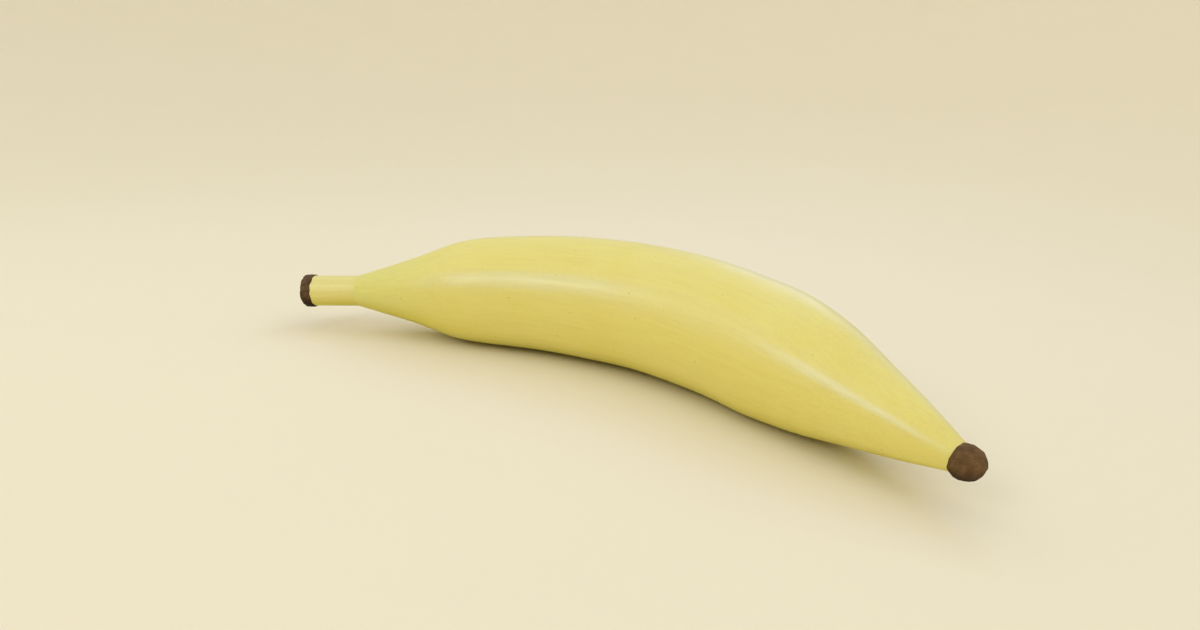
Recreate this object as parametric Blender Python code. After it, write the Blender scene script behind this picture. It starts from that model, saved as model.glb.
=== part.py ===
"""A ripe banana lying on its side, grown in one piece.

Metres, Z up. The stem points to -X, the dried blossom end to +X, the outside of
the bend to +Y, and the fruit rests on Z = 0. One closed body: a stem with its
dried cut end, a widening neck, the five-ridged fruit and its round dried tip.
"""

import math

import bmesh
import bpy
from mathutils import Matrix
from mathutils import Vector

# Distances along the middle of the fruit, counted from the cut end of the stem
CUT_END_LENGTH = 0.0030
STEM_LENGTH = 0.0165
BEND_START = 0.0385
BEND_END = 0.1775
FRUIT_END = 0.1972
TIP_CENTRE = 0.19885

# How far the fruit turns between the stem and the blossom end
BEND_ANGLE = math.radians(57.0)

# The stem, its slightly wider dried end with a hollowed cut face, and the round dried tip
STEM_RADIUS = 0.00465
CUT_END_RADIUS = 0.0050
CUT_EDGE_ROUNDING = 0.0005
CUT_FACE_HOLLOW = 0.0006
TIP_RADIUS = 0.0036

# Mean radius of the neck and the fruit at places along them, from the root of the stem
GIRTHS = (
    (STEM_LENGTH, STEM_RADIUS),
    (0.0270, 0.0077),
    (0.0360, 0.0104),
    (0.0430, 0.0129),
    (0.0475, 0.0144),
    (0.0525, 0.0154),
    (0.0590, 0.0161),
    (0.0670, 0.0166),
    (0.0830, 0.0174),
    (0.1030, 0.0177),
    (0.1230, 0.0175),
    (0.1390, 0.0170),
    (0.1510, 0.0164),
    (0.1640, 0.0140),
    (0.1770, 0.0100),
    (0.1880, 0.0065),
    (FRUIT_END, 0.0032),
)

# Rounded ridges run the length of the fruit and fade into the round stem over the neck.
# The first looks to the inside of the bend and upwards, by this angle. A second wave narrows their crests
RIDGE_COUNT = 5
RIDGE_SHARE = 0.03
SECOND_WAVE = 0.13
RIDGE_LIFT = math.radians(36.0)
RIDGES_START = STEM_LENGTH
RIDGES_FULL = 0.0440

# How the fruit lies: rolled on to the flank that carries it, which its weight flattens in two places
ROLL = math.radians(11.5)
FLAT_SPOT_DEPTH = 0.0005

# Fineness of the surface
POINTS_ROUND = 60
FACE_STEPS = 3
EDGE_STEPS = 3
STEM_STEPS = 5
FRUIT_STEPS = 74
TIP_STEPS = 8
MIDDLE_STEPS = 400

PEEL_COLOUR = (0.76, 0.62, 0.17, 1.0)
CUT_END_COLOUR = (0.11, 0.062, 0.030, 1.0)
TIP_COLOUR = (0.12, 0.068, 0.028, 1.0)
PEEL = 0
CUT_END = 1
TIP = 2


def clear_scene():
    for old in list(bpy.data.objects):
        bpy.data.objects.remove(old, do_unlink=True)


def make_material(name, colour, roughness):
    material = bpy.data.materials.new(name)
    material.use_nodes = True
    shader = material.node_tree.nodes["Principled BSDF"]
    shader.inputs["Base Color"].default_value = colour
    shader.inputs["Roughness"].default_value = roughness
    shader.inputs["Metallic"].default_value = 0.0
    return material


def ease(share):
    """From 0 to 1 as the share does, level at both ends."""
    share = min(max(share, 0.0), 1.0)
    return share * share * (3.0 - 2.0 * share)


def heading_at(distance):
    """How far the fruit has turned at this distance."""
    return BEND_ANGLE * ease((distance - BEND_START) / (BEND_END - BEND_START))


def middle_points(length):
    """Evenly spaced points along the middle of the fruit, which bends towards -Y."""
    step = length / MIDDLE_STEPS
    points = [Vector((0.0, 0.0, 0.0))]
    for count in range(MIDDLE_STEPS):
        heading = heading_at(step * (count + 0.5))
        points.append(points[-1] + step * Vector((math.cos(heading), -math.sin(heading), 0.0)))
    return points


def point_at(points, length, distance):
    """The point of the middle line at this distance from the cut end."""
    place = distance / length * MIDDLE_STEPS
    before = min(int(place), MIDDLE_STEPS - 1)
    return points[before].lerp(points[before + 1], place - before)


def girth_slopes():
    """The slope of a smooth curve through GIRTHS, at each of its places."""
    widths = []
    steps = []
    for (start, low), (end, high) in zip(GIRTHS, GIRTHS[1:]):
        widths.append(end - start)
        steps.append((high - low) / (end - start))
    slopes = [steps[0]]
    for index in range(1, len(steps)):
        before = widths[index - 1]
        after = widths[index]
        slopes.append((steps[index - 1] * after + steps[index] * before) / (before + after))
    slopes.append(steps[-1])
    return slopes


def radius_at(distance, slopes):
    """Mean radius of the neck or the fruit, on the smooth curve through GIRTHS."""
    index = 0
    while index < len(GIRTHS) - 2 and distance > GIRTHS[index + 1][0]:
        index += 1
    start, low = GIRTHS[index]
    end, high = GIRTHS[index + 1]
    width = end - start
    share = (distance - start) / width
    leaving = share * (1.0 - share) ** 2 * width * slopes[index]
    arriving = share * share * (share - 1.0) * width * slopes[index + 1]
    return low + (high - low) * ease(share) + leaving + arriving


def cut_end_rings():
    """(distance, radius, material) of each ring of the dried cut end, from inside its hollow face."""
    face_radius = CUT_END_RADIUS - CUT_EDGE_ROUNDING
    rings = []
    for count in range(1, FACE_STEPS):
        across = count / FACE_STEPS
        rings.append((CUT_FACE_HOLLOW * (1.0 - ease(across)), face_radius * across, CUT_END))
    for count in range(EDGE_STEPS + 1):
        angle = math.radians(90.0) * count / EDGE_STEPS
        distance = CUT_EDGE_ROUNDING * (1.0 - math.cos(angle))
        rings.append((distance, face_radius + CUT_EDGE_ROUNDING * math.sin(angle), CUT_END))
    rings.append((CUT_END_LENGTH - CUT_EDGE_ROUNDING, CUT_END_RADIUS, CUT_END))
    rings.append((CUT_END_LENGTH, STEM_RADIUS, PEEL))
    return rings


def stem_rings():
    rings = []
    for count in range(1, STEM_STEPS):
        distance = CUT_END_LENGTH + (STEM_LENGTH - CUT_END_LENGTH) * count / STEM_STEPS
        rings.append((distance, STEM_RADIUS, PEEL))
    return rings


def fruit_rings():
    slopes = girth_slopes()
    rings = []
    for count in range(FRUIT_STEPS):
        distance = STEM_LENGTH + (FRUIT_END - STEM_LENGTH) * count / FRUIT_STEPS
        rings.append((distance, radius_at(distance, slopes), PEEL))
    return rings


def tip_rings():
    """Rings of the round dried tip, from where the fruit meets it."""
    first_angle = math.acos((FRUIT_END - TIP_CENTRE) / TIP_RADIUS)
    rings = []
    for count in range(TIP_STEPS):
        angle = first_angle * (1.0 - count / TIP_STEPS)
        distance = TIP_CENTRE + TIP_RADIUS * math.cos(angle)
        rings.append((distance, TIP_RADIUS * math.sin(angle), TIP))
    return rings


def ring_points(centre, distance, radius):
    """Points round the fruit at one place along it, its ridges standing out from the mean radius."""
    heading = heading_at(distance)
    inwards = Vector((-math.sin(heading), -math.cos(heading), 0.0))
    upwards = Vector((0.0, 0.0, 1.0))
    ridges_here = RIDGE_SHARE * ease((distance - RIDGES_START) / (RIDGES_FULL - RIDGES_START))
    if distance >= FRUIT_END:
        ridges_here = 0.0
    points = []
    for count in range(POINTS_ROUND):
        angle = math.radians(360.0) * count / POINTS_ROUND
        wave = RIDGE_COUNT * (angle - RIDGE_LIFT)
        crest = math.cos(wave) + SECOND_WAVE * (math.cos(2.0 * wave) - 1.0)
        out = radius * (1.0 + ridges_here * crest)
        points.append(centre + out * (inwards * math.cos(angle) + upwards * math.sin(angle)))
    return points


def lay_down(body, cut_end_middle, tip_middle):
    """Turns the length along X, rolls the fruit on to its flank and flattens that a little."""
    along = tip_middle - cut_end_middle
    level = Matrix.Rotation(-math.atan2(along.y, along.x), 4, "Z")
    rolled = Matrix.Rotation(ROLL, 4, "X")
    bmesh.ops.transform(body, matrix=rolled @ level, verts=body.verts)
    lowest = min(vert.co.z for vert in body.verts)
    middle_x = (min(vert.co.x for vert in body.verts) + max(vert.co.x for vert in body.verts)) / 2
    middle_y = (min(vert.co.y for vert in body.verts) + max(vert.co.y for vert in body.verts)) / 2
    down = Vector((-middle_x, -middle_y, -lowest - FLAT_SPOT_DEPTH))
    bmesh.ops.translate(body, vec=down, verts=body.verts)
    for vert in body.verts:
        vert.co.z = max(vert.co.z, 0.0)


def make_banana():
    length = TIP_CENTRE + TIP_RADIUS
    middle = middle_points(length)
    rings = cut_end_rings() + stem_rings() + fruit_rings() + tip_rings()
    body = bmesh.new()
    face_middle = body.verts.new(point_at(middle, length, CUT_FACE_HOLLOW))
    loops = []
    kinds = []
    for distance, radius, kind in rings:
        centre = point_at(middle, length, distance)
        loops.append([body.verts.new(point) for point in ring_points(centre, distance, radius)])
        kinds.append(kind)
    tip_end = body.verts.new(middle[-1])
    for index in range(POINTS_ROUND):
        following = (index + 1) % POINTS_ROUND
        face = body.faces.new((face_middle, loops[0][index], loops[0][following]))
        face.material_index = CUT_END
        face = body.faces.new((tip_end, loops[-1][following], loops[-1][index]))
        face.material_index = TIP
        for near, far, kind in zip(loops, loops[1:], kinds):
            face = body.faces.new((near[index], far[index], far[following], near[following]))
            face.material_index = kind
            face.smooth = True
    bmesh.ops.recalc_face_normals(body, faces=body.faces)
    lay_down(body, middle[0], middle[-1])
    mesh = bpy.data.meshes.new("banana")
    body.to_mesh(mesh)
    body.free()
    banana = bpy.data.objects.new("banana", mesh)
    bpy.context.collection.objects.link(banana)
    banana.data.materials.append(make_material("peel", PEEL_COLOUR, 0.45))
    banana.data.materials.append(make_material("dried cut end", CUT_END_COLOUR, 0.85))
    banana.data.materials.append(make_material("dried tip", TIP_COLOUR, 0.85))


clear_scene()
make_banana()
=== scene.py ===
"""The look of a ripe banana lying on its side on a pale floor, in soft light. Metres, Z up."""

import math
from collections import namedtuple

import bpy
import numpy as np
from mathutils import Matrix
from mathutils import Vector
from mathutils import noise


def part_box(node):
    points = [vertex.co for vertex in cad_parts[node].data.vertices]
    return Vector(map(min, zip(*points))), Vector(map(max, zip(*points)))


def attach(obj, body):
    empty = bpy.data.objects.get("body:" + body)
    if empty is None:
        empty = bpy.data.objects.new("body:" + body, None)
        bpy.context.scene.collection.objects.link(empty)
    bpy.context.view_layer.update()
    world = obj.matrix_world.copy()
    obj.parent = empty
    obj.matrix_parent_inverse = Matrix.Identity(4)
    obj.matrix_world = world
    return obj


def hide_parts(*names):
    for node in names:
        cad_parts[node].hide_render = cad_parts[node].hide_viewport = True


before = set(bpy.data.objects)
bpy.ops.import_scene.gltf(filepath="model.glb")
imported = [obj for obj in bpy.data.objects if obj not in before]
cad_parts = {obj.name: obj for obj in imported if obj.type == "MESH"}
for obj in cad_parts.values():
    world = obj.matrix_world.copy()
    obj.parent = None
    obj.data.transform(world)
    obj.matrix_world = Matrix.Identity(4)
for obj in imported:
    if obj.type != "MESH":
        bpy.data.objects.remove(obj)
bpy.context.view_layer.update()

# The photo is 1200 pixels wide, and its lens sees 50 degrees from top to bottom of its 630
PHOTO_WIDTH = 1200
PHOTO_HEIGHT = 630
VIEW_HEIGHT_ANGLE = math.radians(50.0)
SENSOR_WIDTH = 36.0
CAMERA_PLACE = Vector((0.0837, -0.1598, 0.0659))
CAMERA_TARGET = Vector((-0.0026, 0.0010, 0.0158))
CAMERA_ROLL = math.radians(4.7)
NEAREST_SEEN = 0.01

# Distances along the middle of the fruit, from the cut end of the stem
CUT_END_LENGTH = 0.0030
STEM_LENGTH = 0.0165
BEND_START = 0.0385
BEND_END = 0.1775
FRUIT_END = 0.1972
TIP_CENTRE = 0.19885
BEND_ANGLE = math.radians(57.0)

# The stem, its dried end with a hollowed cut face, and the round dried tip
STEM_RADIUS = 0.00465
CUT_END_RADIUS = 0.0050
CUT_EDGE_ROUNDING = 0.0005
CUT_FACE_HOLLOW = 0.0006
TIP_RADIUS = 0.0036

# Mean radius of the neck and the fruit at places along them
GIRTHS = (
    (STEM_LENGTH, STEM_RADIUS),
    (0.0270, 0.0077),
    (0.0360, 0.0104),
    (0.0430, 0.0129),
    (0.0475, 0.0144),
    (0.0525, 0.0154),
    (0.0590, 0.0161),
    (0.0670, 0.0166),
    (0.0830, 0.0174),
    (0.1030, 0.0177),
    (0.1230, 0.0175),
    (0.1390, 0.0170),
    (0.1510, 0.0164),
    (0.1640, 0.0140),
    (0.1770, 0.0100),
    (0.1880, 0.0065),
    (FRUIT_END, 0.0032),
)

# Ridges, which fade into the round stem over the neck. A second wave narrows their crests
RIDGE_COUNT = 5
RIDGE_SHARE = 0.03
RIDGE_LIFT = math.radians(36.0)
RIDGES_FULL = 0.0440
SECOND_WAVE = 0.13

# Relief of the skin: dents over the fruit, and fibres along the stem that lose a share over the neck
DENT_HEIGHT = 0.00012
DENT_SIZE = 0.0160
FIBRE_HEIGHT = 0.00007
FIBRE_WIDTH = 0.0010
FIBRE_LENGTH = 0.0120
FIBRES_LOST = 0.8

# Torn grain of the cut end, of which the rim gets a share, and its border, which wanders round the stem
CUT_GRAIN_HEIGHT = 0.00016
CUT_GRAIN_SIZE = 0.0011
CUT_RIM_SHARE = 0.4
CUT_BORDER_WANDER = 0.0004
CUT_BORDER_REACH = 0.0016
CUT_BORDER_WAVES = 3.0

# The dried tip shrank into blunt flats with a fine grain
TIP_FLATS = 60
TIP_FLATS_DRAW = 4
TIP_BLUNTNESS = 120
TIP_UNEVENNESS = 0.06
TIP_FULLNESS = 0.985
TIP_GRAIN_HEIGHT = 0.00005
TIP_GRAIN_SIZE = 0.0006

# Each relief has its own noise, moved away from the others by multiples of a shift
DENT_NOISE = 1
FIBRE_NOISE = 2
TIP_NOISE = 3
CUT_NOISE = 4
BORDER_NOISE = 5
NOISE_SHIFT = (17.3, 5.9, 11.7)

# How the fruit lies
ROLL = math.radians(11.5)
FLAT_SPOT_DEPTH = 0.0005

# Fineness of the surface. The first ring of the cut face lies at this share of its radius
POINTS_ROUND = 240
FACE_RINGS = 14
FACE_FIRST_RING = 0.05
EDGE_RINGS = 6
CUT_SIDE_RINGS = 14
CUT_BACK_RINGS = 3
STEM_RINGS = 36
FRUIT_RINGS = 225
TIP_RINGS = 40
MIDDLE_STEPS = 2000

PEEL = 0
CUT_END = 1
TIP = 2

# The floor is a wide bowl, so that no horizon shows behind the fruit. Its mottle is a little paler
FLOOR_RADIUS = 0.40
FLOOR_INNER_RADIUS = 0.20
FLOOR_SWEEP = 0.75
FLOOR_DROP = 0.00005
FLOOR_POINTS_ROUND = 128
FLOOR_SWEEP_RINGS = 48
FLOOR_COLOUR = (0.81, 0.742, 0.55, 1.0)
FLOOR_PALER = 1.02
FLOOR_MOTTLE_SIZE = 0.05
FLOOR_ROUGHNESS = 0.9

# The sky and the lamps: each lamp's name, place, width, height, power and colour
SKY_COLOUR = (0.985, 0.985, 1.0, 1.0)
SKY_STRENGTH = 1.0
WARM_LAMP = (1.0, 1.0, 0.955)
COOL_LAMP = (0.50, 0.65, 1.25)
LAMP_SPREAD = math.radians(90.0)
LAMPS = (
    ("front softbox", (-0.29, -0.80, 0.52), 0.40, 0.30, 0.44, WARM_LAMP),
    ("back softbox", (-0.05, 0.75, 0.70), 0.45, 0.40, 0.32, COOL_LAMP),
)

# Noise in the materials. The detail is how many layers it has, each finer than the one before
NOISE_ROUGHNESS = 0.55
NOISE_DETAIL = 3.0
SOFT_NOISE_DETAIL = 2.0

# In the colours below, a pair of places or values is the start and the end of a gradual change.
# Flank is -1 underneath, 0 on the sides and 1 on top, as the fruit is before its roll. Ridge is 1 on
# the crests and -1 between them, and nears 0 over the neck

# Ground colour of the peel: two close yellows in broad patches. Painted shade deepens it underneath, and
# further up the sides on the neck
YELLOW = (0.757, 0.677, 0.190, 1.0)
WARM_YELLOW = (0.752, 0.660, 0.168, 1.0)
PAINTED_SHADE_YELLOW = (0.645, 0.58, 0.045, 1.0)
YELLOW_PATCH_SIZE = 0.018
YELLOW_PATCHES = (0.35, 0.65)
PAINTED_SHADE_UNDERNEATH = (-0.85, -0.30)
PAINTED_SHADE_UNDER_NECK = (-0.75, 0.0)
PAINTED_SHADE_NECK_FADES = (0.030, 0.070)

# Pale cream lines on the crests, painted as highlights and uneven along their length. They are strong on
# the stem's half, nearly vanish, and come back narrower before the tip. On the flanks that look down they
# are faint
CREAM_AND_PAINTED_HIGHLIGHT = (0.72, 0.685, 0.37, 1.0)
HIGHLIGHT_EDGE = 0.58
NARROW_HIGHLIGHT_EDGE = 0.80
HIGHLIGHT_NARROWS = (0.120, 0.155)
HIGHLIGHT_NOISE_SIZE = 0.006
HIGHLIGHT_NOISE_STRETCH = 4.0
HIGHLIGHT_NOISE = (0.3, 0.6)
HIGHLIGHT_STRENGTHS = (0.45, 0.75)
STEM_HALF_FADES = (0.090, 0.120)
STEM_HALF_LEFT = 0.15
TIP_HALF_GROWS = (0.146, 0.174)
TIP_HALF_STRENGTH = 0.85
HIGHLIGHTS_END = (FRUIT_END - 0.008, FRUIT_END - 0.001)
HIGHLIGHTS_FACING_UP = (0.05, 0.5)
FAINT_HIGHLIGHT = 0.25

# A painted highlight on the top ridge, and a broad band of painted highlight round each ridge of the
# upper half
TOP_HIGHLIGHT_GROWS = (0.112, 0.138)
TOP_HIGHLIGHT_FADES = (0.144, 0.162)
TOP_OF_FRUIT = (0.75, 0.92)
TOP_HIGHLIGHT_STRENGTH = 0.75
BROAD_HIGHLIGHT_BAND = (-0.3, 0.9)
BROAD_HIGHLIGHT_FLANK = (-0.3, 0.2)
BROAD_HIGHLIGHT_STRENGTH = 0.16

# The pale stem with a painted highlight along its top, and the green neck, whose border with the stem
# wanders
STEM_PALE = (0.735, 0.657, 0.195, 1.0)
STEM_PALE_FADES = (STEM_LENGTH, STEM_LENGTH + 0.004)
PAINTED_STEM_HIGHLIGHT_FLANK = (-0.1, 0.5)
PAINTED_STEM_HIGHLIGHT_STRENGTH = 0.22
NECK_GREEN = (0.69, 0.65, 0.185, 1.0)
NECK_STARTS = (STEM_LENGTH - 0.0002, STEM_LENGTH + 0.0014)
NECK_FADES = (STEM_LENGTH + 0.004, 0.058)
NECK_BORDER_WANDER = 0.0012
NECK_BORDER_SIZE = 0.003

# The slightly olive end before the dried tip
TIP_OLIVE = (0.55, 0.50, 0.12, 1.0)
TIP_OLIVE_GROWS = (FRUIT_END - 0.010, FRUIT_END - 0.001)
TIP_OLIVE_STRENGTH = 0.10

# Fine marks: streaks along the peel, pores, and specks, each kind with its spacing, radius and strength
STREAK_OCHRE = (0.52, 0.38, 0.08, 1.0)
STREAK_WIDTH = 0.0012
STREAK_STRETCH = 14.0
STREAKS = (0.35, 0.70)
STREAK_STRENGTH = 0.08
PORE_SIZE = 0.0004
PORE_DETAIL = 1.0
PORES = (0.45, 0.75)
PORE_STRENGTH = 0.10
SPECK_BROWN = (0.42, 0.36, 0.03, 1.0)
SPECK_KINDS = ((0.0050, 0.00034, 0.45), (0.0036, 0.00017, 0.30))
SPECK_CORE = 0.6
SPECKS_START = (STEM_LENGTH + 0.01, STEM_LENGTH + 0.02)

# Uneven gloss of the peel, and its finest fibres and pores as bumps. The plain roughness is for
# programs that show only one value
PEEL_PLAIN_ROUGHNESS = 0.42
PEEL_ROUGHNESS = (0.33, 0.40)
GLOSS_PATCH_SIZE = 0.007
GLOSS_PATCH_STRETCH = 2.5
GLOSS_PATCHES = (0.3, 0.7)
PEEL_BUMP = 0.00006
BUMP_FIBRE_WIDTH = 0.0009
BUMP_FIBRE_STRETCH = 9.0
BUMP_PORE_SHARE = 0.35

# The dried ends: two browns in patches with a fine grain, and painted shade that makes them nearly black
# underneath
CUT_BROWN = (0.135, 0.078, 0.034, 1.0)
CUT_DARK = (0.070, 0.038, 0.014, 1.0)
CUT_PATCH_SIZE = 0.0012
TIP_BROWN = (0.166, 0.092, 0.034, 1.0)
TIP_DARK = (0.098, 0.052, 0.018, 1.0)
TIP_PATCH_SIZE = 0.0020
DRIED_PAINTED_SHADE = (0.023, 0.010, 0.002, 1.0)
DRIED_PATCHES = (0.35, 0.65)
DRIED_PATCH_DETAIL = 4.0
DRIED_GRAIN_SHARE = 0.2
DRIED_GRAIN = (0.45, 0.7)
DRIED_GRAIN_STRENGTH = 0.6
DRIED_PAINTED_SHADE_REACH = (-0.0026, 0.0012)
DRIED_PAINTED_SHADE_STRENGTH = 0.96
DRIED_SPECULAR = 0.25
DRIED_GLOSS_GRAIN = (0.3, 0.7)
DRIED_PLAIN_ROUGHNESS = 0.82
DRIED_ROUGHNESS = (0.74, 0.92)
DRIED_BUMP = 0.00015
DRIED_BUMP_GRAIN_SHARE = 0.5

# Where a point of the peel is: its unbent place, how far along, on which ridge and which flank
Where = namedtuple("Where", "place along ridge flank")


def ease(share):
    """From 0 to 1 as the share does, level at both ends."""
    share = np.clip(share, 0.0, 1.0)
    return share * share * (3.0 - 2.0 * share)


def heading_at(distance):
    """How far the fruit has turned at these distances."""
    return BEND_ANGLE * ease((distance - BEND_START) / (BEND_END - BEND_START))


def middle_at(distance):
    """Points of the middle line of the fruit, which bends towards -Y, at these distances."""
    whole_length = TIP_CENTRE + TIP_RADIUS
    step = whole_length / MIDDLE_STEPS
    heading = heading_at(step * (np.arange(MIDDLE_STEPS) + 0.5))
    places = np.linspace(0.0, whole_length, MIDDLE_STEPS + 1)
    x = np.concatenate([[0.0], np.cumsum(step * np.cos(heading))])
    y = np.concatenate([[0.0], np.cumsum(-step * np.sin(heading))])
    return np.stack([np.interp(distance, places, x), np.interp(distance, places, y), 0 * distance], -1)


def mean_radius(distance):
    """Mean radius of the neck and the fruit at these distances, on a smooth curve through GIRTHS."""
    places, radii = np.array(GIRTHS).T
    widths = np.diff(places)
    steps = np.diff(radii) / widths
    inner = (steps[:-1] * widths[1:] + steps[1:] * widths[:-1]) / (widths[1:] + widths[:-1])
    slopes = np.concatenate([steps[:1], inner, steps[-1:]])
    index = np.clip(np.searchsorted(places, distance, side="right") - 1, 0, len(widths) - 1)
    width = widths[index]
    share = (distance - places[index]) / width
    leaving = share * (1.0 - share) ** 2 * width * slopes[index]
    arriving = share * share * (share - 1.0) * width * slopes[index + 1]
    rise = (radii[index + 1] - radii[index]) * ease(share)
    return radii[index] + rise + leaving + arriving


def over_neck(distance):
    """From 0 on the stem to 1 on the fruit."""
    return ease((distance - STEM_LENGTH) / (RIDGES_FULL - STEM_LENGTH))


def ridge_strength(distance):
    """None on the stem and the dried tip, full along the fruit."""
    return np.where(distance >= FRUIT_END, 0.0, over_neck(distance))


def ridges_at(distance, angle):
    """How far the ridges stand out from the mean radius, as a share of it."""
    wave = RIDGE_COUNT * (angle - RIDGE_LIFT)
    crest = np.cos(wave) + SECOND_WAVE * (np.cos(2.0 * wave) - 1.0)
    return RIDGE_SHARE * ridge_strength(distance) * crest


def cut_end_rings():
    """(distance, radius) of the rings of the dried cut end, from the middle of its hollow face."""
    face_radius = CUT_END_RADIUS - CUT_EDGE_ROUNDING
    across = np.linspace(FACE_FIRST_RING, 1.0, FACE_RINGS)
    face = np.stack([CUT_FACE_HOLLOW * (1.0 - ease(across)), face_radius * across], -1)
    turn = np.linspace(0.0, math.pi / 2, EDGE_RINGS)[1:]
    edge_places = CUT_EDGE_ROUNDING * (1.0 - np.cos(turn))
    edge = np.stack([edge_places, face_radius + CUT_EDGE_ROUNDING * np.sin(turn)], -1)
    back_start = CUT_END_LENGTH - CUT_EDGE_ROUNDING
    side_places = np.linspace(CUT_EDGE_ROUNDING, back_start, CUT_SIDE_RINGS)[1:]
    side = np.stack([side_places, np.full_like(side_places, CUT_END_RADIUS)], -1)
    back_share = np.linspace(0.0, 1.0, CUT_BACK_RINGS + 1)[1:]
    back_radii = CUT_END_RADIUS + (STEM_RADIUS - CUT_END_RADIUS) * back_share
    back = np.stack([back_start + CUT_EDGE_ROUNDING * back_share, back_radii], -1)
    return np.concatenate([face, edge, side, back])


def stem_rings():
    places = np.linspace(CUT_END_LENGTH, STEM_LENGTH, STEM_RINGS + 1)[1:-1]
    return np.stack([places, np.full_like(places, STEM_RADIUS)], -1)


def fruit_rings():
    places = np.linspace(STEM_LENGTH, FRUIT_END, FRUIT_RINGS + 1)[:-1]
    return np.stack([places, mean_radius(places)], -1)


def tip_rings():
    first_angle = math.acos((FRUIT_END - TIP_CENTRE) / TIP_RADIUS)
    angle = first_angle * (1.0 - np.arange(TIP_RINGS) / TIP_RINGS)
    return np.stack([TIP_CENTRE + TIP_RADIUS * np.cos(angle), TIP_RADIUS * np.sin(angle)], -1)


def all_rings():
    """(distance, radius) of every ring, the material that starts at each, and the first of the peel."""
    parts = ((cut_end_rings(), CUT_END), (stem_rings(), PEEL), (fruit_rings(), PEEL), (tip_rings(), TIP))
    rings = np.concatenate([rows for rows, kind in parts])
    kinds = np.concatenate([np.full(len(rows), kind) for rows, kind in parts])
    first_peel = len(parts[0][0]) - 1
    kinds[first_peel] = PEEL
    return rings, kinds, first_peel


def noise_at(points, number):
    """Smooth noise from -1 to 1 at these points, its features about one unit in size."""
    shift = Vector([number * part for part in NOISE_SHIFT])
    values = [noise.noise(Vector(point) + shift) for point in points.reshape(-1, 3)]
    return np.array(values).reshape(points.shape[:-1])


def unbent(distance, out, angle):
    """Places on the fruit as they would be if it were straight, with its length along Z."""
    return np.stack([out * np.cos(angle), out * np.sin(angle), distance + 0 * out], -1)


def bent(skin):
    """Unbent places brought on to the bent fruit, in the frame of its middle line."""
    distance = skin[..., 2]
    heading = heading_at(distance)
    inwards = np.stack([-np.sin(heading), -np.cos(heading), 0 * heading], -1)
    upwards = np.array([0.0, 0.0, 1.0])
    return middle_at(distance) + skin[..., :1] * inwards + skin[..., 1:2] * upwards


def skin_relief(skin):
    """Height of the shallow dents of the fruit and of the fibres along its stem."""
    on_fruit = over_neck(skin[..., 2])
    strength = on_fruit * ease((TIP_CENTRE - skin[..., 2]) / DENT_SIZE)
    dents = DENT_HEIGHT * strength * noise_at(skin / DENT_SIZE, DENT_NOISE)
    fibre_grid = np.array([FIBRE_WIDTH, FIBRE_WIDTH, FIBRE_LENGTH])
    fibres = FIBRE_HEIGHT * (1.0 - FIBRES_LOST * on_fruit) * noise_at(skin / fibre_grid, FIBRE_NOISE)
    return dents + fibres


def shrunken_ball(directions):
    """Radius of the dried tip in these directions, as a share of a ball's."""
    draw = np.random.default_rng(TIP_FLATS_DRAW)
    count = np.arange(TIP_FLATS) + 0.5
    height = 1.0 - 2.0 * count / TIP_FLATS
    golden_turn = math.pi * (3.0 - math.sqrt(5.0))
    turn = count * golden_turn
    across = np.sqrt(1.0 - height * height)
    flats = np.stack([across * np.cos(turn), across * np.sin(turn), height], -1)
    flats += TIP_UNEVENNESS * draw.standard_normal(flats.shape)
    flats /= np.linalg.norm(flats, axis=1)[:, None]
    facing = np.clip(directions @ flats.T, 0.0, None)
    return TIP_FULLNESS * (facing**TIP_BLUNTNESS).sum(-1) ** (-1.0 / TIP_BLUNTNESS)


def with_dried_tip(skin):
    """The unbent places of the tip moved on to its blunt flats and their grain."""
    centre = np.array([0.0, 0.0, TIP_CENTRE])
    out = skin - centre
    length = np.linalg.norm(out, axis=-1)[..., None]
    share = shrunken_ball(out / length)[..., None]
    grain = TIP_GRAIN_HEIGHT * noise_at(skin / TIP_GRAIN_SIZE, TIP_NOISE)[..., None]
    return centre + out / length * (TIP_RADIUS * share + grain)


def with_cut_grain(skin):
    """The unbent places of the cut end with the torn fibres of its face and the uneven rim."""
    grain = CUT_GRAIN_HEIGHT * noise_at(skin / CUT_GRAIN_SIZE, CUT_NOISE)
    moved = skin.copy()
    moved[..., 2] -= grain
    moved[..., :2] *= 1.0 + CUT_RIM_SHARE * grain[..., None] / CUT_END_RADIUS
    return moved


def with_wandering_border(skin):
    """The unbent places near the border of the dried cut end, moved along so that it wanders."""
    angle = np.arctan2(skin[..., 1], skin[..., 0])
    around = np.stack([CUT_BORDER_WAVES * np.cos(angle), CUT_BORDER_WAVES * np.sin(angle), 0 * angle], -1)
    near = 1.0 - ease(np.abs(skin[..., 2] - CUT_END_LENGTH) / CUT_BORDER_REACH)
    moved = skin.copy()
    moved[..., 2] += CUT_BORDER_WANDER * near * noise_at(around, BORDER_NOISE)
    return moved


def with_relief(smooth, first_peel, first_tip):
    """The unbent places of all rings with the relief of the peel and of both dried ends."""
    skin = smooth.copy()
    on_peel = slice(first_peel, first_tip)
    out = np.linalg.norm(skin[on_peel, :, :2], axis=-1)
    rise = skin_relief(skin[on_peel]) / out
    skin[on_peel, :, :2] *= 1.0 + rise[..., None]
    skin[:first_peel] = with_cut_grain(skin[:first_peel])
    skin[first_tip:] = with_dried_tip(skin[first_tip:])
    return with_wandering_border(skin)


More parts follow.
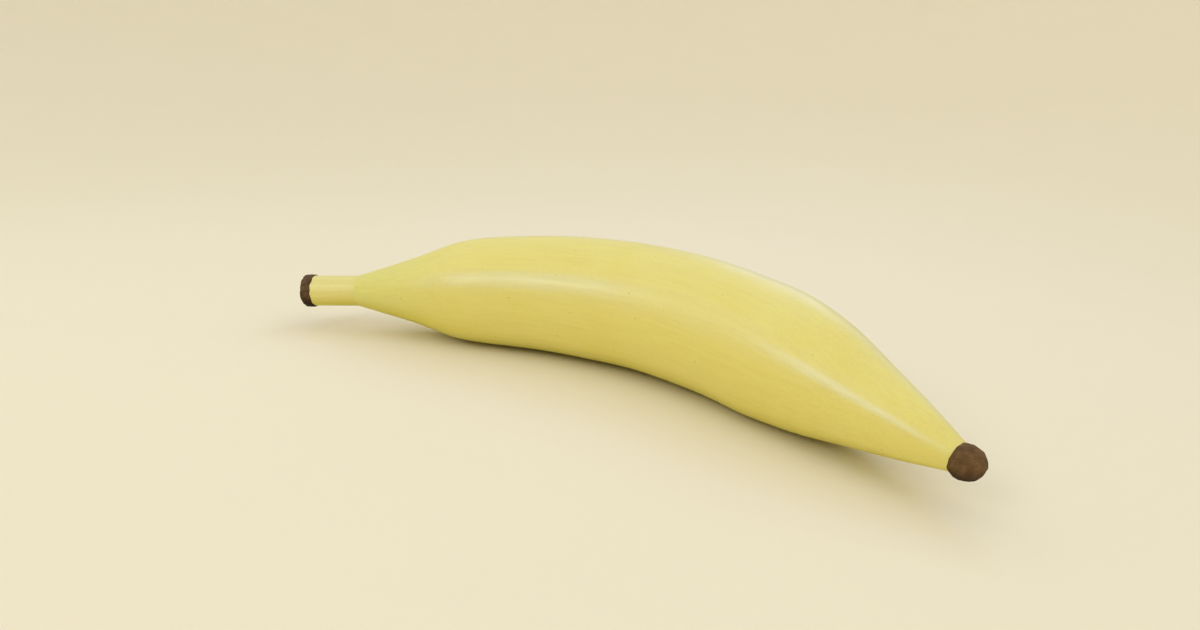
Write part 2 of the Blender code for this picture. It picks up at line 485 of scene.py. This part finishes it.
def lay_down(points, reference):
    """Turns the length along X, rolls the fruit on to its flank and flattens that a little."""
    along = middle_at(np.array([TIP_CENTRE + TIP_RADIUS]))[0]
    level = Matrix.Rotation(-math.atan2(along[1], along[0]), 3, "Z")
    turned = np.array(Matrix.Rotation(ROLL, 3, "X") @ level)
    laid_reference = (reference @ turned.T).reshape(-1, 3)
    laid = points @ turned.T
    low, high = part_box("banana")
    middle = (laid_reference.min(0) + laid_reference.max(0)) / 2
    laid[..., 0] += (low.x + high.x) / 2 - middle[0]
    laid[..., 1] += (low.y + high.y) / 2 - middle[1]
    laid[..., 2] -= laid_reference[:, 2].min() + FLAT_SPOT_DEPTH
    laid[..., 2] = np.maximum(laid[..., 2], 0.0)
    return laid


def ring_faces(ring_count):
    """Corner indices of the quads between rings of points, whose first point has index 1."""
    ring = np.arange(ring_count - 1)[:, None] * POINTS_ROUND + 1
    here = np.arange(POINTS_ROUND)[None, :]
    following = (here + 1) % POINTS_ROUND
    near = ring + here
    near_following = ring + following
    corners = [near, near + POINTS_ROUND, near_following + POINTS_ROUND, near_following]
    return np.stack(corners, -1).reshape(-1, 4)


def closed_faces(ring_count):
    """The fan over the cut face, the fan over the end of the tip, then the quads between rings."""
    count = np.arange(POINTS_ROUND)
    following = (count + 1) % POINTS_ROUND
    last = ring_count * POINTS_ROUND + 1
    last_ring = last - POINTS_ROUND
    start_fan = np.stack([0 * count, count + 1, following + 1], -1)
    end_fan = np.stack([0 * count + last, last_ring + following, last_ring + count], -1)
    return start_fan.tolist() + end_fan.tolist() + ring_faces(ring_count).tolist()


def add_attribute(mesh, name, kind, key, values):
    attribute = mesh.attributes.new(name, kind, "POINT")
    attribute.data.foreach_set(key, np.ascontiguousarray(values, np.float32).ravel())


def add_skin_values(mesh, flat_skin):
    """Gives every point its unbent place, its ridge value and its flank value."""
    turn = np.arctan2(flat_skin[:, 1], flat_skin[:, 0])
    wave = RIDGE_COUNT * (turn - RIDGE_LIFT)
    add_attribute(mesh, "skin", "FLOAT_VECTOR", "vector", flat_skin)
    add_attribute(mesh, "ridge", "FLOAT", "value", np.cos(wave) * ridge_strength(flat_skin[:, 2]))
    add_attribute(mesh, "flank", "FLOAT", "value", np.sin(turn))


def crease_rings(mesh, ring_numbers):
    """Keeps the shading sharp along these rings, where the dried ends meet the peel."""
    ends = np.zeros(len(mesh.edges) * 2, np.int32)
    mesh.edges.foreach_get("vertices", ends)
    ring_of_end = (ends.reshape(-1, 2) - 1) // POINTS_ROUND
    along_ring = ring_of_end[:, 0] == ring_of_end[:, 1]
    sharp = along_ring & np.isin(ring_of_end[:, 0], ring_numbers)
    attribute = mesh.attributes.new("sharp_edge", "BOOLEAN", "EDGE")
    attribute.data.foreach_set("value", sharp)


def make_banana():
    rings, kinds, first_peel = all_rings()
    first_tip = len(rings) - TIP_RINGS
    distance = rings[:, :1]
    angle = np.linspace(0.0, 2.0 * math.pi, POINTS_ROUND, endpoint=False)[None, :]
    smooth = unbent(distance, rings[:, 1:] * (1.0 + ridges_at(distance, angle)), angle)
    skin = with_relief(smooth, first_peel, first_tip)
    face_middle = np.array([[0.0, 0.0, CUT_FACE_HOLLOW]])
    tip_end = with_dried_tip(np.array([[0.0, 0.0, TIP_CENTRE + TIP_RADIUS]]))
    flat_skin = np.concatenate([face_middle, skin.reshape(-1, 3), tip_end])
    points = lay_down(bent(flat_skin), bent(smooth))

    mesh = bpy.data.meshes.new("ripe_banana")
    mesh.from_pydata(points.tolist(), [], closed_faces(len(rings)))
    fan_kinds = [CUT_END] * POINTS_ROUND + [TIP] * POINTS_ROUND
    quad_kinds = np.repeat(kinds[:-1], POINTS_ROUND)
    mesh.polygons.foreach_set("material_index", np.concatenate([fan_kinds, quad_kinds]).astype(np.int32))
    mesh.shade_smooth()
    add_skin_values(mesh, flat_skin)
    crease_rings(mesh, (first_peel, first_tip))
    mesh.validate()
    banana = bpy.data.objects.new("ripe_banana", mesh)
    bpy.context.collection.objects.link(banana)
    return banana


def add_node(tree, kind, inputs=(), **settings):
    """A shader node with these settings; an input takes a value or the output of another node."""
    made = tree.nodes.new(kind)
    for name, value in settings.items():
        setattr(made, name, value)
    for name, value in dict(inputs).items():
        if isinstance(value, bpy.types.NodeSocket):
            tree.links.new(value, made.inputs[name])
        else:
            made.inputs[name].default_value = value
    return made


def mixed(tree, share, first, second):
    """The second colour over the first by this share."""
    settings = {"data_type": "RGBA", "blend_type": "MIX", "clamp_factor": True}
    return add_node(tree, "ShaderNodeMix", {0: share, 6: first, 7: second}, **settings).outputs[2]


def ranged(tree, value, start, end, low=0.0, high=1.0):
    """The value moved from start..end to low..high, level beyond both ends."""
    inputs = {"Value": value, "From Min": start, "From Max": end, "To Min": low, "To Max": high}
    return add_node(tree, "ShaderNodeMapRange", inputs, interpolation_type="SMOOTHSTEP").outputs[0]


def calculated(tree, operation, first, second):
    return add_node(tree, "ShaderNodeMath", {0: first, 1: second}, operation=operation).outputs[0]


def product(tree, value, *factors):
    for factor in factors:
        value = calculated(tree, "MULTIPLY", value, factor)
    return value


def noise_value(tree, place, size, stretch=1.0, detail=NOISE_DETAIL):
    """Noise from 0 to 1 whose features have this size, longer along Z by the stretch."""
    scale = (1.0 / size, 1.0 / size, 1.0 / (size * stretch))
    scaled = add_node(tree, "ShaderNodeVectorMath", {0: place, 1: scale}, operation="MULTIPLY").outputs[0]
    inputs = {"Vector": scaled, "Scale": 1.0, "Detail": detail, "Roughness": NOISE_ROUGHNESS}
    return add_node(tree, "ShaderNodeTexNoise", inputs).outputs[0]


def speck_value(tree, place, spacing, radius):
    """1 in small round specks scattered this far apart, 0 between them."""
    inputs = {"Vector": place, "Scale": 1.0 / spacing, "Randomness": 1.0}
    nearest = add_node(tree, "ShaderNodeTexVoronoi", inputs, feature="F1").outputs["Distance"]
    return ranged(tree, nearest, SPECK_CORE * radius / spacing, radius / spacing, 1.0, 0.0)


def new_material(name, roughness):
    material = bpy.data.materials.new(name)
    material.use_nodes = True
    tree = material.node_tree
    shader = tree.nodes["Principled BSDF"]
    shader.inputs["Roughness"].default_value = roughness
    return material, tree, shader


def bump(tree, shader, height, depth):
    """Raises the look of the surface by up to this depth where the height value is 1."""
    inputs = {"Height": height, "Distance": depth, "Strength": 1.0}
    normal = add_node(tree, "ShaderNodeBump", inputs).outputs[0]
    tree.links.new(normal, shader.inputs["Normal"])


def where_on_peel(tree):
    place = add_node(tree, "ShaderNodeAttribute", attribute_name="skin").outputs["Vector"]
    along = add_node(tree, "ShaderNodeSeparateXYZ", {0: place}).outputs[2]
    ridge = add_node(tree, "ShaderNodeAttribute", attribute_name="ridge").outputs["Fac"]
    flank = add_node(tree, "ShaderNodeAttribute", attribute_name="flank").outputs["Fac"]
    return Where(place, along, ridge, flank)


def ground_colour(tree, where):
    patches = noise_value(tree, where.place, YELLOW_PATCH_SIZE)
    return mixed(tree, ranged(tree, patches, *YELLOW_PATCHES), YELLOW, WARM_YELLOW)


def painted_crest_highlights(tree, where):
    """Strength of the painted highlights on all the crests."""
    edge = ranged(tree, where.along, *HIGHLIGHT_NARROWS, HIGHLIGHT_EDGE, NARROW_HIGHLIGHT_EDGE)
    on_crest = ranged(tree, where.ridge, edge, 1.0)
    patches = noise_value(tree, where.place, HIGHLIGHT_NOISE_SIZE, HIGHLIGHT_NOISE_STRETCH, SOFT_NOISE_DETAIL)
    unevenness = ranged(tree, patches, *HIGHLIGHT_NOISE, *HIGHLIGHT_STRENGTHS)
    stem_half = ranged(tree, where.along, *STEM_HALF_FADES, 1.0, STEM_HALF_LEFT)
    tip_half = ranged(tree, where.along, *TIP_HALF_GROWS, 0.0, TIP_HALF_STRENGTH)
    tip_half = product(tree, tip_half, ranged(tree, where.along, *HIGHLIGHTS_END, 1.0, 0.0))
    lengthwise = calculated(tree, "ADD", stem_half, tip_half)
    facing_up = ranged(tree, where.flank, *HIGHLIGHTS_FACING_UP, FAINT_HIGHLIGHT, 1.0)
    return product(tree, on_crest, unevenness, lengthwise, facing_up)


def painted_top_highlight(tree, where):
    """Strength of the painted highlight on the ridge on top, before the fruit narrows to its tip."""
    grows = ranged(tree, where.along, *TOP_HIGHLIGHT_GROWS)
    fades = ranged(tree, where.along, *TOP_HIGHLIGHT_FADES, 1.0, 0.0)
    on_top = ranged(tree, where.flank, *TOP_OF_FRUIT)
    on_crest = ranged(tree, where.ridge, HIGHLIGHT_EDGE, 1.0)
    return product(tree, grows, fades, on_top, TOP_HIGHLIGHT_STRENGTH, on_crest)


def with_painted_ridge_highlights(tree, colour, where):
    # Painted highlight: a broad cream band round each ridge of the upper half
    highlight_band = ranged(tree, where.ridge, *BROAD_HIGHLIGHT_BAND, 0.0, BROAD_HIGHLIGHT_STRENGTH)
    highlight_band = product(tree, highlight_band, ranged(tree, where.flank, *BROAD_HIGHLIGHT_FLANK))
    colour = mixed(tree, highlight_band, colour, CREAM_AND_PAINTED_HIGHLIGHT)
    # Painted highlights: cream lines on the crests and on the top ridge
    highlights = calculated(tree, "ADD", painted_crest_highlights(tree, where), painted_top_highlight(tree, where))
    return mixed(tree, highlights, colour, CREAM_AND_PAINTED_HIGHLIGHT)


def with_stem_and_neck(tree, colour, where):
    on_stem = ranged(tree, where.along, *STEM_PALE_FADES, 1.0, 0.0)
    colour = mixed(tree, on_stem, colour, STEM_PALE)
    # Painted highlight: cream along the top of the stem
    stem_highlight = product(tree, on_stem, ranged(tree, where.flank, *PAINTED_STEM_HIGHLIGHT_FLANK, 0.0, PAINTED_STEM_HIGHLIGHT_STRENGTH))
    colour = mixed(tree, stem_highlight, colour, CREAM_AND_PAINTED_HIGHLIGHT)
    border = noise_value(tree, where.place, NECK_BORDER_SIZE, detail=SOFT_NOISE_DETAIL)
    neck_place = calculated(tree, "ADD", where.along, product(tree, border, NECK_BORDER_WANDER))
    neck_start = ranged(tree, neck_place, *NECK_STARTS)
    neck_end = ranged(tree, neck_place, *NECK_FADES, 1.0, 0.0)
    return mixed(tree, product(tree, neck_start, neck_end), colour, NECK_GREEN)


def with_olive_end(tree, colour, where):
    near_tip = ranged(tree, where.along, *TIP_OLIVE_GROWS, 0.0, TIP_OLIVE_STRENGTH)
    return mixed(tree, near_tip, colour, TIP_OLIVE)


def with_painted_underside_shade(tree, colour, where):
    # Painted shade: a deeper, darker yellow underneath the fruit, and further up the sides on the neck
    # and stem
    shade_under_fruit = ranged(tree, where.flank, *PAINTED_SHADE_UNDERNEATH, 1.0, 0.0)
    on_neck = ranged(tree, where.along, *PAINTED_SHADE_NECK_FADES, 1.0, 0.0)
    shade_under_neck = product(tree, ranged(tree, where.flank, *PAINTED_SHADE_UNDER_NECK, 1.0, 0.0), on_neck)
    underneath = calculated(tree, "MAXIMUM", shade_under_fruit, shade_under_neck)
    return mixed(tree, underneath, colour, PAINTED_SHADE_YELLOW)


def with_fine_marks(tree, colour, where, pores):
    """Faint streaks and pores, and small brown specks."""
    streaks = noise_value(tree, where.place, STREAK_WIDTH, STREAK_STRETCH)
    colour = mixed(tree, ranged(tree, streaks, *STREAKS, 0.0, STREAK_STRENGTH), colour, STREAK_OCHRE)
    colour = mixed(tree, ranged(tree, pores, *PORES, 0.0, PORE_STRENGTH), colour, STREAK_OCHRE)
    on_fruit = ranged(tree, where.along, *SPECKS_START)
    for spacing, radius, strength in SPECK_KINDS:
        specks = product(tree, speck_value(tree, where.place, spacing, radius), on_fruit, strength)
        colour = mixed(tree, specks, colour, SPECK_BROWN)
    return colour


def peel_material():
    """Ripe peel: yellow, with painted shade underneath, painted highlights on the ridges and along the
    top of the stem, a green neck and fine marks.
    """
    material, tree, shader = new_material("peel", PEEL_PLAIN_ROUGHNESS)
    where = where_on_peel(tree)
    pores = noise_value(tree, where.place, PORE_SIZE, detail=PORE_DETAIL)
    colour = ground_colour(tree, where)
    colour = with_painted_ridge_highlights(tree, colour, where)
    colour = with_stem_and_neck(tree, colour, where)
    colour = with_olive_end(tree, colour, where)
    colour = with_painted_underside_shade(tree, colour, where)
    colour = with_fine_marks(tree, colour, where, pores)
    tree.links.new(colour, shader.inputs["Base Color"])

    gloss = noise_value(tree, where.place, GLOSS_PATCH_SIZE, GLOSS_PATCH_STRETCH)
    tree.links.new(ranged(tree, gloss, *GLOSS_PATCHES, *PEEL_ROUGHNESS), shader.inputs["Roughness"])
    fibres = noise_value(tree, where.place, BUMP_FIBRE_WIDTH, BUMP_FIBRE_STRETCH)
    bump(tree, shader, calculated(tree, "ADD", product(tree, pores, BUMP_PORE_SHARE), fibres), PEEL_BUMP)
    return material


def dried_material(name, light, dark, patch_size):
    """Dried, wrinkled tissue in two browns with fine grain, with painted shade that darkens it
    underneath.
    """
    material, tree, shader = new_material(name, DRIED_PLAIN_ROUGHNESS)
    shader.inputs["Specular IOR Level"].default_value = DRIED_SPECULAR
    place = add_node(tree, "ShaderNodeAttribute", attribute_name="skin").outputs["Vector"]
    patches = noise_value(tree, place, patch_size, detail=DRIED_PATCH_DETAIL)
    grain = noise_value(tree, place, patch_size * DRIED_GRAIN_SHARE)
    colour = mixed(tree, ranged(tree, patches, *DRIED_PATCHES), dark, light)
    colour = mixed(tree, ranged(tree, grain, *DRIED_GRAIN, 0.0, DRIED_GRAIN_STRENGTH), colour, dark)
    height = add_node(tree, "ShaderNodeSeparateXYZ", {0: place}).outputs[1]
    # Painted shade: nearly black towards the underside of the dried ends
    underneath = ranged(tree, height, *DRIED_PAINTED_SHADE_REACH, DRIED_PAINTED_SHADE_STRENGTH, 0.0)
    colour = mixed(tree, underneath, colour, DRIED_PAINTED_SHADE)
    tree.links.new(colour, shader.inputs["Base Color"])
    tree.links.new(ranged(tree, grain, *DRIED_GLOSS_GRAIN, *DRIED_ROUGHNESS), shader.inputs["Roughness"])
    fine = product(tree, grain, DRIED_BUMP_GRAIN_SHARE)
    bump(tree, shader, calculated(tree, "ADD", patches, fine), DRIED_BUMP)
    return material


def floor_material():
    """Pale matt paper with a faint mottle."""
    material, tree, shader = new_material("pale floor", FLOOR_ROUGHNESS)
    place = add_node(tree, "ShaderNodeTexCoord").outputs["Object"]
    mottle = noise_value(tree, place, FLOOR_MOTTLE_SIZE)
    paler = (*[part * FLOOR_PALER for part in FLOOR_COLOUR[:3]], 1.0)
    tree.links.new(mixed(tree, mottle, FLOOR_COLOUR, paler), shader.inputs["Base Color"])
    return material


def make_floor():
    """A round floor that curves up all the way round."""
    turn = np.linspace(0.0, math.pi / 2, FLOOR_SWEEP_RINGS)
    sweep = np.stack([FLOOR_RADIUS + FLOOR_SWEEP * np.sin(turn), FLOOR_SWEEP * (1.0 - np.cos(turn))], -1)
    profile = np.concatenate([[[FLOOR_INNER_RADIUS, 0.0]], sweep])
    angle = np.linspace(0.0, 2.0 * math.pi, FLOOR_POINTS_ROUND, endpoint=False)
    x = profile[:, :1] * np.cos(angle)
    y = profile[:, :1] * np.sin(angle)
    z = profile[:, 1:] + 0 * angle - FLOOR_DROP
    points = np.concatenate([[[0.0, 0.0, -FLOOR_DROP]], np.stack([x, y, z], -1).reshape(-1, 3)])
    count = np.arange(FLOOR_POINTS_ROUND)
    following = (count + 1) % FLOOR_POINTS_ROUND
    faces = np.stack([0 * count, count + 1, following + 1], -1).tolist()
    for ring in range(len(profile) - 1):
        near = ring * FLOOR_POINTS_ROUND + 1
        far = near + FLOOR_POINTS_ROUND
        faces += np.stack([near + count, far + count, far + following, near + following], -1).tolist()
    mesh = bpy.data.meshes.new("floor")
    mesh.from_pydata(points.tolist(), [], faces)
    mesh.shade_smooth()
    floor = bpy.data.objects.new("floor", mesh)
    bpy.context.collection.objects.link(floor)
    mesh.materials.append(floor_material())


def make_softbox(name, place, width, height, power, colour):
    """A large soft lamp that looks at the fruit."""
    lamp = bpy.data.lights.new(name, "AREA")
    lamp.shape = "RECTANGLE"
    lamp.size = width
    lamp.size_y = height
    lamp.energy = power
    lamp.color = colour
    lamp.spread = LAMP_SPREAD
    softbox = bpy.data.objects.new(name, lamp)
    softbox.location = place
    softbox.rotation_euler = (-Vector(place)).to_track_quat("-Z", "Y").to_euler()
    softbox.visible_camera = False
    bpy.context.collection.objects.link(softbox)


def make_light():
    world = bpy.data.worlds.new("soft sky")
    bpy.context.scene.world = world
    world.use_nodes = True
    background = world.node_tree.nodes["Background"]
    background.inputs["Color"].default_value = SKY_COLOUR
    background.inputs["Strength"].default_value = SKY_STRENGTH
    for name, place, width, height, power, colour in LAMPS:
        make_softbox(name, place, width, height, power, colour)
    bpy.context.scene.view_settings.view_transform = "Standard"


def make_camera():
    lens = bpy.data.cameras.new("camera")
    lens.sensor_fit = "HORIZONTAL"
    lens.sensor_width = SENSOR_WIDTH
    focal_pixels = PHOTO_HEIGHT / 2 / math.tan(VIEW_HEIGHT_ANGLE / 2)
    lens.lens = focal_pixels / PHOTO_WIDTH * SENSOR_WIDTH
    lens.clip_start = NEAREST_SEEN
    camera = bpy.data.objects.new("camera", lens)
    facing = (CAMERA_TARGET - CAMERA_PLACE).to_track_quat("-Z", "Y").to_matrix().to_4x4()
    rolled = facing @ Matrix.Rotation(CAMERA_ROLL, 4, "Z")
    camera.matrix_world = Matrix.Translation(CAMERA_PLACE) @ rolled
    bpy.context.collection.objects.link(camera)
    bpy.context.scene.camera = camera


make_camera()
make_floor()
make_light()
banana = make_banana()
banana.data.materials.append(peel_material())
banana.data.materials.append(dried_material("dried cut end", CUT_BROWN, CUT_DARK, CUT_PATCH_SIZE))
banana.data.materials.append(dried_material("dried tip", TIP_BROWN, TIP_DARK, TIP_PATCH_SIZE))
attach(banana, "root")
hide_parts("banana")
